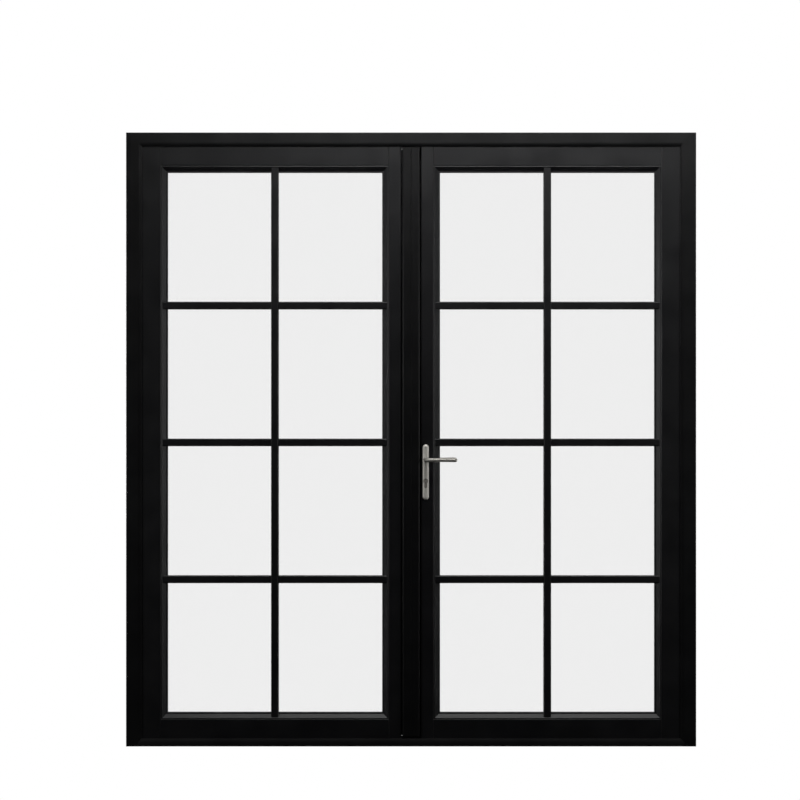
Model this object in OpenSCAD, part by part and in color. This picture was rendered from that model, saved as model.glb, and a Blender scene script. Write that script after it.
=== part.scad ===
// French doors: two glazed aluminium leaves, their frame, a centre post on the left leaf and a lever lock.
// X runs to the right, Y from the front face to the back, Z up. Z = 0 is the underside of the threshold.
// The front (-Y) is the side with the glazing beads; both leaves swing away from it, about pins on the back.

/* [Frame] */
// Overall width of the frame
frame_w = 1950; // [1500:10:2600]
// Overall height of the frame
frame_h = 2100; // [1800:10:2600]
// Depth of the frame from front to back
frame_d = 70; // [66:1:100]
// Width of a jamb's hollow body
jamb_body = 40; // [30:1:70]
// Reach of a jamb's lip past its body
jamb_lip = 13; // [10:1:20]
// Height of the head seen from the front, lip included
head_w = 46; // [40:1:80]
// Height of the threshold's hollow body
sill_body = 14; // [12:1:30]
// Rise of the threshold's lip above its body
sill_lip = 13; // [10:1:20]
// Thickness of the lips at the front of the frame
lip_t = 8; // [6:0.5:12]
// Fall of a lip's sloped front across its reach
lip_fall = 4.5; // [1:0.5:5]
// Wall thickness of the hollow profiles
wall = 2.5; // [2:0.1:3.5]
// Radius on the long edges of the profiles
edge_r = 2; // [1:0.1:2.4]
// Radius of a wall fixing's hole through the outer side of a jamb
fixing_r = 5; // [3:0.5:6]
// Radius of the wider hole that lets a fixing's head through
fixing_head_r = 8; // [7:0.5:10]

/* [Leaves] */
// Gap between a leaf and the frame's rebate
leaf_gap = 4; // [3:0.5:6]
// Thickness of the seal between the lips and the leaves
seal_t = 3; // [2:0.5:5]
// Width of the seal strip
seal_w = 8; // [5:0.5:9]
// Width of the hollow body of the hinge stiles
stile_body = 75; // [60:1:110]
// Width of the hollow body of the meeting stiles
meeting_body = 43; // [42:1:80]
// Width of the hollow body of the top and bottom rails
rail_body = 75; // [60:1:140]

/* [Centre post] */
// Width of the post between the leaves
post_w = 58; // [50:1:80]
// Gap from the post to each leaf
post_gap = 5; // [5:0.5:8]
// Gap from the post's ends to the lips of the head and the threshold
post_end_gap = 8; // [5:0.5:15]
// Radius on the post's long edges
post_r = 3; // [2:0.5:6]

/* [Glazing] */
// Thickness of each pane
pane_t = 4; // [3:0.5:6]
// Width of the cavity between the panes
cavity = 16; // [12:1:18]
// Depth of the front pane behind the leaf's front face
glass_set = 16; // [14:0.5:20]
// Thickness of the gaskets on both sides of the glass
gasket_t = 3; // [2:0.5:4]
// Width of the gaskets
gasket_w = 7; // [4:0.5:10]
// Gap from the glass to the rebate, filled by the setting blocks
glass_edge_gap = 5; // [3:0.5:6]
// Width of the glazing beads, from the leaf's body to the sight line
bead_w = 22; // [20:1:30]
// Width of the flat toe of a bead beside the glass
bead_toe = 5; // [3:0.5:6]
// Width of the flat crown of a bead beside the leaf's body
bead_crown = 3.5; // [2:0.5:5]
// Step of the bead's crown behind the leaf's front face
bead_step = 1; // [0.5:0.5:2]

/* [Glazing bars] */
// Number of panes side by side in a leaf
columns = 2; // [1:1:3]
// Number of panes above one another in a leaf
rows = 4; // [1:1:6]
// Width of the glazing bars
bar_w = 26; // [16:1:35]
// Depth of the front bars' faces behind the leaf's front face
bar_set = 2; // [1:0.5:5]
// Depth of the back bars' faces behind the leaf's back face
bar_back_set = 3; // [1:0.5:6]
// Bevel along the bars' outer edges
bar_bevel = 2.5; // [0.5:0.5:4]

/* [Hinges] */
// Height of a hinge
hinge_h = 100; // [80:1:140]
// Distance from a leaf's end to the middle of its outer hinges
hinge_inset = 230; // [150:5:320]
// Radius of the knuckles
knuckle_r = 8; // [7:0.5:10]
// Radius of the hinge pins
pin_r = 4; // [3:0.5:5]
// Thickness of the hinge plates
hinge_plate_t = 3; // [2:0.5:4]
// Width of a hinge plate on a leaf
leaf_plate_w = 38; // [30:1:50]
// Width of a hinge plate on a jamb
jamb_plate_w = 28; // [20:1:32]

/* [Handle] */
// Height of the lever's axis above the underside of the threshold
lever_z = 980; // [900:5:1150]
// Distance from the right leaf's edge to the lever's axis
backset = 16; // [15:0.5:18]
// Width of the backplates
plate_w = 22; // [20:0.5:26]
// Height of the backplates
plate_h = 190; // [180:1:240]
// Thickness of the backplates
plate_t = 8; // [5:0.5:10]
// Distance from the lever's axis up to the top of the backplates
plate_rise = 53; // [50:1:70]
// Reach of the lever from its axis
lever_reach = 108; // [90:1:135]
// Radius of the lever's grip
grip_r = 7.5; // [6:0.5:9]
// Radius of the bulb at the lever's tip
tip_r = 8.2; // [7:0.1:10]
// Radius of the lever's neck
neck_r = 8.5; // [7:0.5:10]
// Distance from the backplate to the middle of the grip
grip_out = 42; // [35:1:60]

/* [Lock] */
// Distance from the lever's axis down to the key cylinder's
cylinder_drop = 72; // [70:1:92]
// Side of the square spindle
spindle_side = 8; // [7:1:9]
// Throw of the deadbolt in one turn of the key
deadbolt_throw = 20; // [14:1:22]
// Travel of the latch bolt
latch_travel = 12; // [8:1:14]
// Travel of the shootbolts and flush bolts
rod_travel = 14; // [8:1:14]
// Radius of the shootbolts and flush bolts
rod_r = 3.5; // [2.5:0.5:4]
// Length of the lock's faceplate
faceplate_h = 235; // [210:5:280]

/* [Fits] */
// Radial play of a pin or a plug that turns
running = 0.05; // [0.02:0.01:0.1]
// Play between parts that are pushed together
play = 0.2; // [0.1:0.05:0.3]
// Play around parts that slide
slide_play = 0.4; // [0.3:0.1:0.6]

/* [Hidden] */
round_fn = 48;
black = "#232426";
seal_black = "#101011";
nickel = "#b9b9b6";
steel = "#8f9194";

// Frame
half_w = frame_w / 2;
front_y = -frame_d / 2;
back_y = frame_d / 2;
lip_back_y = front_y + lip_t;
jamb_w = jamb_body + jamb_lip;
head_body = head_w * jamb_body / jamb_w; // keeps the mitre through the corners of body and lip alike
head_z = frame_h - head_body;
sill_w = sill_body + sill_lip;
fixing_y = back_y / 2;
fixing_zs = [200, 750, frame_h - 750, frame_h - 200];

// Leaves, described for the right one; the left one is its mirror image
leaf_y0 = lip_back_y + seal_t;
leaf_y1 = back_y;
leaf_mid_y = (leaf_y0 + leaf_y1) / 2;
leaf_in = post_w / 2 + post_gap;
leaf_out = half_w - jamb_body - leaf_gap;
leaf_z0 = sill_body + leaf_gap;
leaf_z1 = head_z - leaf_gap;
body_in = leaf_in + meeting_body;
body_out = leaf_out - stile_body;
body_z0 = leaf_z0 + rail_body;
body_z1 = leaf_z1 - rail_body;
sight_in = body_in + bead_w;
sight_out = body_out - bead_w;
sight_z0 = body_z0 + bead_w;
sight_z1 = body_z1 - bead_w;

// Glazing
glass_y0 = leaf_y0 + glass_set;
glass_y1 = glass_y0 + 2 * pane_t + cavity;
leg_y = glass_y1 + gasket_t;
bead_back_y = glass_y0 - gasket_t;
bead_toe_y = bead_back_y - 1.2;
bead_crown_y = leaf_y0 + bead_step;
spacer_w = 12;
spacer_edge = 2;
cavity_bar_w = 18;
cavity_bar_t = 8;
mitre_gap = 0.2;
bead_fit = 0.02;
block_l = 100;
pane_w = (sight_out - sight_in - (columns - 1) * bar_w) / columns;
pane_h = (sight_z1 - sight_z0 - (rows - 1) * bar_w) / rows;
bar_front_y = leaf_y0 + bar_set;
bar_back_y = leaf_y1 - bar_back_set;
// How far a front bar runs past the sight line, over the bead's slope, and the slope itself
bead_slope = (bead_toe_y - bead_crown_y) / (bead_w - bead_toe - bead_crown);
bar_over = bead_toe + (bead_toe_y - play - bar_front_y) / bead_slope;

// Hinges
hinge_zs = [leaf_z0 + hinge_inset, (leaf_z0 + leaf_z1) / 2, leaf_z1 - hinge_inset];
pin_x = (leaf_out + half_w - jamb_body) / 2;
knuckle_off = 0.6;
pin_y = back_y + knuckle_off + knuckle_r;
leaf_knuckle_h = hinge_h / 3;
washer_t = 1;
bush_rim = washer_t - running;
bush_r = pin_r + 1.5;
pin_head_r = 6;
pin_head_h = 3;
hinge_screw_r = 2.4;
hinge_screw_head_r = 4.3;
hinge_screw_head_h = 1.6;
hinge_screw_in = 8;
hinge_screw_zs = [-0.36 * hinge_h, 0, 0.36 * hinge_h];

// Corner cleats
cleat_l = 90;
tie_r = 3;
tie_head_r = 5.5;
tie_head_h = 4;
tie_in = 45;
end_plug_t = 12;

// Handle and lock
lever_x = leaf_in + backset;
cylinder_z = lever_z - cylinder_drop;
plate_top = lever_z + plate_rise;
plate_bottom = plate_top - plate_h;
plate_screw_zs = [plate_bottom + plate_w / 2, plate_top - plate_w / 2];
plate_screw_r = 2.5;
plate_screw_head_r = 4.2;
neck_gap = 0.3;
spindle_hole_r = spindle_side * 0.75;
cylinder_r = 8.5;
cylinder_web_r = 5;
cylinder_web_drop = 19.5;
cylinder_out = 1.5;
plug_r = 6.5;
key_slot = [2.2, 8];
case_t = 17;
case_wall = 1.5;
case_x0 = leaf_in + wall;
case_x1 = leaf_in + meeting_body - wall - play;
case_z0 = cylinder_z - cylinder_web_drop - cylinder_web_r - 8;
follower_r = 9;
follower_w = case_t + 4;
bolt_t = 12;
deadbolt_h = 22;
deadbolt_z = (lever_z - follower_r + cylinder_z + cylinder_r) / 2;
bolt_l = 27;
latch_h = 14;
latch_z = lever_z + follower_r + 11 + latch_h / 2;
case_z1 = latch_z + latch_h / 2 + 4;
faceplate_w = 24;
faceplate_z0 = (case_z0 + case_z1 - faceplate_h) / 2;
faceplate_z1 = faceplate_z0 + faceplate_h;
faceplate_screw_in = 9;
rod_x = leaf_in + meeting_body - wall - rod_r - 4;
rod_rest = 1;
thumb_w = 10;
thumb_h = 22;
thumb_out = 4;
flush_l = 560;
keep_t = 1.5;
keep_w = 30;
keep_l = 60;
post_z0 = sill_w + post_end_gap;
post_z1 = frame_h - head_w - post_end_gap;
post_cap_t = 2.5;
post_flange_t = 3;
post_flange_y = 11;
post_groove = 1;
post_screw_r = 2.5;
post_screw_head_r = 5;
post_screw_zs = [for (i = [0 : 5]) post_z0 + 100 + i * (post_z1 - post_z0 - 200) / 5];
pile_w = 6;
pile_h = post_gap - 0.3;
pile_y = leaf_y1 - 5;

// ---------- shared shapes ----------

// A rectangle with round corners
module round_rect(x0, y0, x1, y1, r) {
    translate([x0 + r, y0]) square([x1 - x0 - 2 * r, y1 - y0]);
    translate([x0, y0 + r]) square([x1 - x0, y1 - y0 - 2 * r]);
    for (x = [x0 + r, x1 - r], y = [y0 + r, y1 - r]) translate([x, y]) circle(r, $fn = round_fn);
}

// A box between two corners
module box(a, b) {
    translate(a) cube(b - a);
}

// A cylinder along X, Y or Z from a to b on a centre given by the other two coordinates
module rod_x(a, b, y, z, r) {
    translate([a, y, z]) rotate([0, 90, 0]) cylinder(h = b - a, r = r, $fn = round_fn);
}
module rod_y(a, b, x, z, r) {
    translate([x, a, z]) rotate([-90, 0, 0]) cylinder(h = b - a, r = r, $fn = round_fn);
}
module rod_z(a, b, x, y, r) {
    translate([x, y, a]) cylinder(h = b - a, r = r, $fn = round_fn);
}

// Turns a section drawn as (distance from the edge, Y) and extruded up Z so that it runs along X,
// with the distance from the edge going up Z
module lie_along_x() {
    mirror([1, 0, -1]) children();
}

// Extrudes an outline drawn in X and Z along Y, from y0 to y1
module through_y(y0, y1) {
    translate([0, y1, 0]) rotate([90, 0, 0]) linear_extrude(y1 - y0) children();
}

module on_left() {
    mirror([1, 0, 0]) children();
}

module both_sides() {
    children();
    mirror([1, 0, 0]) children();
}

// ---------- frame ----------

module frame_outline(body, lip) {
    round_rect(0, front_y, body, back_y, edge_r);
    polygon([
        [body - 2 * edge_r, front_y], [body, front_y], [body + lip, front_y + lip_fall],
        [body + lip, lip_back_y], [body - 2 * edge_r, lip_back_y]
    ]);
}

module frame_section(body, lip) {
    difference() {
        frame_outline(body, lip);
        for (s = [-1, 1])
            translate([wall, s * (frame_d / 4 - wall / 4) - (frame_d / 2 - 1.5 * wall) / 2])
                square([body - 2 * wall, frame_d / 2 - 1.5 * wall]);
    }
}

// The head's side (above) or the jamb's side (below) of the mitre at the top right corner
module mitre_wedge(above) {
    near = [half_w + jamb_w, frame_h + head_w];
    far = [half_w - 2 * jamb_w, frame_h - 2 * head_w];
    through_y(front_y - 1, back_y + 1)
        polygon([near, far, above ? [far.x, near.y] : [near.x, far.y]]);
}

module jamb() {
    difference() {
        translate([half_w, 0, 0]) mirror([1, 0, 0])
            linear_extrude(frame_h) frame_section(jamb_body, jamb_lip);
        mitre_wedge(true);
        for (z = fixing_zs) {
            rod_x(half_w - wall - 1, half_w + 1, fixing_y, z, fixing_r);
            rod_x(half_w - jamb_body - 1, half_w - jamb_body + wall + 1, fixing_y, z, fixing_head_r);
        }
        hinge_screw_shanks(pin_x + knuckle_r + jamb_plate_w / 2, play / 2);
        sill_tie(play / 2);
    }
}

module left_jamb() color(black) on_left() jamb();
module right_jamb() color(black) jamb();

module head_profile() color(black) difference() {
    translate([0, 0, frame_h]) mirror([0, 0, 1]) lie_along_x()
        linear_extrude(frame_w, center = true) frame_section(head_body, head_w - head_body);
    both_sides() mitre_wedge(false);
    both_sides() rod_z(head_z - 1, head_z + wall + 1, rod_x, leaf_mid_y, rod_r + slide_play);
}

module threshold() color(black) difference() {
    lie_along_x() linear_extrude(frame_w - jamb_body, center = true) frame_section(sill_body, sill_lip);
    both_sides() translate([half_w, 0, -1]) mirror([1, 0, 0])
        linear_extrude(sill_w + 2) frame_outline(jamb_body, jamb_lip);
    both_sides() rod_z(sill_body - wall - 1, sill_body + 1, rod_x, leaf_mid_y, rod_r + slide_play);
}

// Screw that ties a jamb to the block in the threshold's end
module sill_tie(extra) {
    rod_x(half_w - jamb_body - tie_in / 2, half_w - wall, frame_d / 4, sill_body / 2, 2 + extra);
    rod_x(half_w - wall - 2, half_w + 1, frame_d / 4, sill_body / 2, 4 + extra);
}

module frame_corner_cleats() color(steel) both_sides() {
    through_y(wall, back_y - wall - play) polygon([
        [half_w - wall - play, frame_h - wall - play],
        [half_w - wall - play, frame_h - cleat_l - head_body],
        [half_w - jamb_body + wall + play, frame_h - cleat_l - head_body],
        [half_w - jamb_body + wall + play, head_z + wall + play],
        [half_w - jamb_body - cleat_l, head_z + wall + play],
        [half_w - jamb_body - cleat_l, frame_h - wall - play]
    ]);
    difference() {
        box([half_w - jamb_body - cleat_l / 2, wall, wall + play],
            [half_w - jamb_body, back_y - wall - play, sill_body - wall - play]);
        sill_tie(running);
    }
}

// One run of seal behind the lip, as a closed ring around both leaves
module frame_seals() color(seal_black) {
    x1 = half_w - jamb_w + 1;
    z0 = sill_w - 1;
    z1 = frame_h - head_w + 1;
    through_y(lip_back_y, leaf_y0) difference() {
        polygon([[-x1 - seal_w, z0 - seal_w], [x1 + seal_w, z0 - seal_w],
                 [x1 + seal_w, z1 + seal_w], [-x1 - seal_w, z1 + seal_w]]);
        polygon([[-x1, z0], [x1, z0], [x1, z1], [-x1, z1]]);
    }
}

// ---------- hinges ----------

// Shanks of the hinge screws in a column at x
module hinge_screw_shanks(x, extra) {
    for (hz = hinge_zs, z = hinge_screw_zs)
        rod_y(back_y - hinge_screw_in, back_y + hinge_plate_t, x, hz + z, hinge_screw_r + extra);
}

module hinge_screw_column(x) {
    hinge_screw_shanks(x, 0);
    for (hz = hinge_zs, z = hinge_screw_zs)
        rod_y(back_y + hinge_plate_t, back_y + hinge_plate_t + hinge_screw_head_h, x, hz + z,
              hinge_screw_head_r);
}

leaf_screw_x = pin_x - knuckle_r - leaf_plate_w / 2;
jamb_screw_x = pin_x + knuckle_r + jamb_plate_w / 2;

// A knuckle with the tongue that joins it to its plate; side 1 is the jamb's, -1 the leaf's
module knuckle(z0, z1, side, bore_r) {
    difference() {
        union() {
            rod_z(z0, z1, pin_x, pin_y, knuckle_r);
            box([min(pin_x, pin_x + side * (knuckle_r + 2)), back_y + knuckle_off, z0],
                [max(pin_x, pin_x + side * (knuckle_r + 2)), back_y + hinge_plate_t, z1]);
        }
        rod_z(z0 - 1, z1 + 1, pin_x, pin_y, bore_r);
    }
}

module jamb_hinges() {
    for (hz = hinge_zs) difference() {
        union() {
            box([pin_x + knuckle_r + 1, back_y, hz - hinge_h / 2],
                [pin_x + knuckle_r + jamb_plate_w, back_y + hinge_plate_t, hz + hinge_h / 2]);
            for (s = [-1, 1])
                knuckle(hz + (s < 0 ? -hinge_h / 2 : leaf_knuckle_h / 2 + washer_t),
                        hz + (s < 0 ? -leaf_knuckle_h / 2 - washer_t : hinge_h / 2), 1, pin_r + running);
        }
        hinge_screw_shanks(jamb_screw_x, play / 2);
    }
}

module leaf_hinges() {
    for (hz = hinge_zs) difference() {
        union() {
            box([pin_x - knuckle_r - leaf_plate_w, back_y, hz - hinge_h / 2],
                [pin_x - knuckle_r - 1, back_y + hinge_plate_t, hz + hinge_h / 2]);
            knuckle(hz - leaf_knuckle_h / 2, hz + leaf_knuckle_h / 2, -1, bush_r + running);
        }
        hinge_screw_shanks(leaf_screw_x, play / 2);
    }
}

module hinge_bushes() {
    for (hz = hinge_zs) difference() {
        union() {
            rod_z(hz - leaf_knuckle_h / 2 - bush_rim, hz + leaf_knuckle_h / 2 + bush_rim, pin_x, pin_y, bush_r);
            for (s = [-1, 1])
                rod_z(hz + s * (leaf_knuckle_h + bush_rim) / 2 - bush_rim / 2,
                      hz + s * (leaf_knuckle_h + bush_rim) / 2 + bush_rim / 2,
                      pin_x, pin_y, knuckle_r - 0.5);
        }
        rod_z(hz - hinge_h / 2, hz + hinge_h / 2, pin_x, pin_y, pin_r + running);
    }
}

module frame_hinge_halves() color(black) both_sides() jamb_hinges();

module hinge_pins() color(steel) both_sides() for (hz = hinge_zs) {
    rod_z(hz - hinge_h / 2, hz + hinge_h / 2, pin_x, pin_y, pin_r);
    rod_z(hz + hinge_h / 2, hz + hinge_h / 2 + pin_head_h, pin_x, pin_y, pin_head_r);
}

module frame_screws() color(steel) both_sides() {
    hinge_screw_column(jamb_screw_x);
    intersection() {
        sill_tie(0);
        box([half_w - 200, 0, 0], [half_w, back_y, sill_body]);
    }
}

// ---------- bolt keeps in the frame ----------

module keep(z0) {
    difference() {
        box([rod_x - keep_l / 2, leaf_mid_y - keep_w / 2, z0],
            [rod_x + keep_l / 2, leaf_mid_y + keep_w / 2, z0 + keep_t]);
        rod_z(z0 - 1, z0 + keep_t + 1, rod_x, leaf_mid_y, rod_r + slide_play);
    }
}

module bolt_keeps() color(steel) both_sides() {
    keep(head_z - keep_t);
    keep(sill_body);
}

// ---------- leaf profiles ----------

// The hollow body of a stile or rail; the web is left out where a lock or bolts run inside
module leaf_body_section(body, web) {
    difference() {
        round_rect(0, leaf_y0, body, leaf_y1, edge_r);
        difference() {
            translate([wall, leaf_y0 + wall]) square([body - 2 * wall, leaf_y1 - leaf_y0 - 2 * wall]);
            if (web) translate([0, leaf_mid_y - wall / 2]) square([body, wall]);
        }
    }
}

// The rebate leg behind the glass, next to a body of this width
module leaf_leg_section(body) {
    difference() {
        union() {
            translate([body - wall, leg_y]) square([bead_w + wall - edge_r, leaf_y1 - leg_y]);
            translate([body, leg_y]) square([bead_w, leaf_y1 - leg_y - edge_r]);
            translate([body + bead_w - edge_r, leaf_y1 - edge_r]) circle(edge_r, $fn = round_fn);
        }
        translate([body, leg_y + wall]) square([bead_w - wall, leaf_y1 - leg_y - 2 * wall]);
    }
}

module stile(body, web) {
    translate([0, 0, leaf_z0]) linear_extrude(leaf_z1 - leaf_z0) leaf_body_section(body, web);
    translate([0, 0, sight_z0]) linear_extrude(sight_z1 - sight_z0) leaf_leg_section(body);
}

module rail_section() {
    leaf_body_section(rail_body, true);
    leaf_leg_section(rail_body);
}

module hinge_stile() {
    difference() {
        translate([leaf_out, 0, 0]) mirror([1, 0, 0]) stile(stile_body, true);
        hinge_screw_shanks(leaf_screw_x, play / 2);
        corner_ties(1, play / 2);
    }
}

module meeting_stile() {
    difference() {
        translate([leaf_in, 0, 0]) stile(meeting_body, false);
        corner_ties(-1, play / 2);
    }
}

module bottom_rail() {
    translate([body_in, 0, leaf_z0]) lie_along_x() linear_extrude(body_out - body_in) rail_section();
}

module top_rail() {
    translate([0, 0, leaf_z1]) mirror([0, 0, 1]) translate([body_in, 0, 0])
        lie_along_x() linear_extrude(body_out - body_in) rail_section();
}

// The two chambers of a rail, as the Y of each one's middle
chamber_ys = [(leaf_y0 + leaf_mid_y) / 2 + wall / 4, (leaf_y1 + leaf_mid_y) / 2 - wall / 4];
chamber_half = (leaf_y1 - leaf_y0) / 4 - 0.75 * wall - play;
rail_mid_zs = [leaf_z0 + rail_body / 2, leaf_z1 - rail_body / 2];

// Screws that tie the rails' cleats to the stiles: side 1 is the hinge stile, -1 the meeting stile
module corner_ties(side, extra) {
    wall_x = side > 0 ? body_out : body_in;
    for (y = chamber_ys, z = rail_mid_zs) {
        rod_x(min(wall_x - side * tie_in, wall_x + side * wall), max(wall_x - side * tie_in, wall_x + side * wall),
              y, z, tie_r + extra);
        rod_x(min(wall_x + side * wall, wall_x + side * (wall + tie_head_h)),
              max(wall_x + side * wall, wall_x + side * (wall + tie_head_h)), y, z, tie_head_r);
    }
}

// Cleats in the ends of both rails, and plugs in the ends of both stiles
module corner_cleats() {
    for (side = [-1, 1]) {
        wall_x = side > 0 ? body_out : body_in;
        difference() {
            for (y = chamber_ys, z = rail_mid_zs)
                box([min(wall_x, wall_x - side * cleat_l), y - chamber_half, z - rail_body / 2 + wall + play],
                    [max(wall_x, wall_x - side * cleat_l), y + chamber_half, z + rail_body / 2 - wall - play]);
            corner_ties(side, running);
        }
    }
    for (z = [leaf_z0, leaf_z1 - end_plug_t]) {
        difference() {
            box([leaf_in + wall + play, leaf_y0 + wall + play, z],
                [body_in - wall - play, leaf_y1 - wall - play, z + end_plug_t]);
            rod_z(z - 1, z + end_plug_t + 1, rod_x, leaf_mid_y, rod_r + slide_play);
        }
        for (y = chamber_ys)
            box([body_out + wall + play, y - chamber_half, z],
                [leaf_out - wall - play, y + chamber_half, z + end_plug_t]);
    }
}

// ---------- glazing ----------

module glass_panes() {
    for (y = [glass_y0, glass_y1 - pane_t])
        box([body_in + glass_edge_gap, y, body_z0 + glass_edge_gap],
            [body_out - glass_edge_gap, y + pane_t, body_z1 - glass_edge_gap]);
}

// Places children at the middle of each upright bar, in X
module at_columns() {
    for (i = [1 : 1 : columns - 1])
        translate([sight_in + i * (pane_w + bar_w) - bar_w / 2, 0, 0]) children();
}

// The middle heights of the cross bars
function row_z(i) = sight_z0 + i * (pane_h + bar_w) - bar_w / 2;
// The left end of the bars in column i
function column_x(i) = sight_in + i * (pane_w + bar_w);

module spacer_grid() {
    e = glass_edge_gap + spacer_edge;
    y0 = glass_y0 + pane_t;
    y1 = glass_y1 - pane_t;
    difference() {
        box([body_in + e, y0, body_z0 + e], [body_out - e, y1, body_z1 - e]);
        box([body_in + e + spacer_w, y0 - 1, body_z0 + e + spacer_w],
            [body_out - e - spacer_w, y1 + 1, body_z1 - e - spacer_w]);
    }
    bar_y = (y0 + y1 - cavity_bar_t) / 2;
    at_columns() box([-cavity_bar_w / 2, bar_y, body_z0 + e + spacer_w - 1],
                     [cavity_bar_w / 2, bar_y + cavity_bar_t, body_z1 - e - spacer_w + 1]);
    for (i = [1 : 1 : rows - 1])
        box([body_in + e + spacer_w - 1, bar_y, row_z(i) - cavity_bar_w / 2],
            [body_out - e - spacer_w + 1, bar_y + cavity_bar_t, row_z(i) + cavity_bar_w / 2]);
}

// Section of a bead: first the distance out from the sight line, then Y
module bead_section() {
    polygon([
        [0, bead_back_y], [0, bead_toe_y], [bead_toe, bead_toe_y],
        [bead_w - bead_crown, bead_crown_y], [bead_w - 1.2, bead_crown_y],
        [bead_w - bead_fit, bead_crown_y + 1.2], [bead_w - bead_fit, bead_back_y]
    ]);
}

// A bead of this length along X, below z = 0, with its ends mitred
module bead(l) {
    intersection() {
        mirror([0, 0, 1]) lie_along_x() linear_extrude(l + 2 * bead_w, center = true) bead_section();
        through_y(leaf_y0 - 1, glass_y1)
            polygon([[-l / 2 + mitre_gap, 0], [l / 2 - mitre_gap, 0],
                     [l / 2 + bead_w - mitre_gap, -bead_w], [-l / 2 - bead_w + mitre_gap, -bead_w]]);
    }
}

module glazing_beads() {
    mid_x = (sight_in + sight_out) / 2;
    mid_z = (sight_z0 + sight_z1) / 2;
    w = sight_out - sight_in;
    h = sight_z1 - sight_z0;
    for (a = [0, 180])
        translate([mid_x, 0, mid_z]) rotate([0, a, 0]) translate([0, 0, -h / 2]) bead(w);
    for (a = [90, 270])
        translate([mid_x, 0, mid_z]) rotate([0, a, 0]) translate([0, 0, -w / 2]) bead(h);
}

module glazing_gaskets() {
    for (y = [bead_back_y, glass_y1]) difference() {
        box([sight_in - gasket_w, y, sight_z0 - gasket_w], [sight_out + gasket_w, y + gasket_t, sight_z1 + gasket_w]);
        box([sight_in, y - 1, sight_z0], [sight_out, y + gasket_t + 1, sight_z1]);
    }
}

module setting_blocks() {
    w = body_out - body_in;
    h = body_z1 - body_z0;
    for (f = [0.25, 0.75]) {
        box([body_in + f * w - block_l / 2, glass_y0, body_z0],
            [body_in + f * w + block_l / 2, glass_y1, body_z0 + glass_edge_gap]);
        for (x = [body_in, body_out - glass_edge_gap])
            box([x, glass_y0, body_z0 + f * h - block_l / 2],
                [x + glass_edge_gap, glass_y1, body_z0 + f * h + block_l / 2]);
    }
}

// A front bar from x = 0 to l along its length, centred on z = 0; the ends named in over run up a bead's slope
module front_bar(l, over) {
    a = over[0] ? 1 : 0;
    b = over[1] ? 1 : 0;
    toe_y = bead_toe_y - play;
    difference() {
        translate([0, 0, -bar_w / 2]) linear_extrude(bar_w) polygon([
            [play, glass_y0], [play, toe_y], [play - a * (bead_toe + play), toe_y],
            [play - a * (bar_over + play), bar_front_y], [l - play + b * (bar_over + play), bar_front_y],
            [l - play + b * (bead_toe + play), toe_y], [l - play, toe_y], [l - play, glass_y0]
        ]);
        for (s = [0, 1]) mirror([0, 0, s]) lie_along_x()
            linear_extrude(2 * l + 8 * bead_w, center = true) polygon([
                [bar_w / 2 - bar_bevel, bar_front_y - 1], [bar_w / 2 + 1, bar_front_y - 1],
                [bar_w / 2 + 1, bar_front_y + bar_bevel], [bar_w / 2, bar_front_y + bar_bevel],
                [bar_w / 2 - bar_bevel, bar_front_y]
            ]);
    }
}

module back_bar(l) {
    difference() {
        box([play, glass_y1, -bar_w / 2], [l - play, bar_back_y, bar_w / 2]);
        for (s = [0, 1]) mirror([0, 0, s]) lie_along_x()
            linear_extrude(3 * l, center = true) polygon([
                [bar_w / 2 - bar_bevel, bar_back_y + 1], [bar_w / 2 + 1, bar_back_y + 1],
                [bar_w / 2 + 1, bar_back_y - bar_bevel], [bar_w / 2, bar_back_y - bar_bevel],
                [bar_w / 2 - bar_bevel, bar_back_y]
            ]);
    }
}

module front_bars() {
    at_columns() translate([0, 0, sight_z0]) rotate([0, -90, 0])
        front_bar(sight_z1 - sight_z0, [true, true]);
    for (i = [0 : columns - 1], j = [1 : 1 : rows - 1])
        translate([column_x(i), 0, row_z(j)]) front_bar(pane_w, [i == 0, i == columns - 1]);
}

module back_bars() {
    at_columns() translate([0, 0, sight_z0]) rotate([0, -90, 0]) back_bar(sight_z1 - sight_z0);
    for (i = [0 : columns - 1], j = [1 : 1 : rows - 1])
        translate([column_x(i), 0, row_z(j)]) back_bar(pane_w);
}

// ---------- left leaf ----------

module left_hinge_stile() color(black) on_left() hinge_stile();

module left_meeting_stile() color(black) difference() {
    on_left() meeting_stile();
    post_screw_shanks(play / 2);
    for (z = [flush_thumb_z(0), flush_thumb_z(1)])
        box([-rod_x - thumb_w / 2 - slide_play, leaf_y1 - wall - 1, z[0] - slide_play],
            [-rod_x + thumb_w / 2 + slide_play, leaf_y1 + 1, z[1] + slide_play]);
}

module left_top_rail() color(black) on_left() top_rail();
module left_bottom_rail() color(black) on_left() bottom_rail();
module left_corner_cleats() color(steel) on_left() corner_cleats();
module left_glass_panes() color("#dfe8ea", 0.35) on_left() glass_panes();
module left_spacer_grid() color(black) on_left() spacer_grid();
module left_glazing_beads() color(black) on_left() glazing_beads();
module left_glazing_gaskets() color(seal_black) on_left() glazing_gaskets();
module left_setting_blocks() color(seal_black) on_left() setting_blocks();
module left_front_bars() color(black) on_left() front_bars();
module left_back_bars() color(black) on_left() back_bars();
module left_leaf_hinges() color(black) on_left() leaf_hinges();
module left_hinge_bushes() color(nickel) on_left() hinge_bushes();

module left_screws() color(steel) {
    on_left() hinge_screw_column(leaf_screw_x);
    for (side = [-1, 1]) on_left() corner_ties(side, 0);
    post_screw_shanks(0);
    for (z = post_screw_zs)
        rod_x(-post_w / 2 + wall, -post_w / 2 + wall + 3, leaf_mid_y, z, post_screw_head_r);
}

// ---------- centre post, carried by the left leaf ----------

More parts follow.
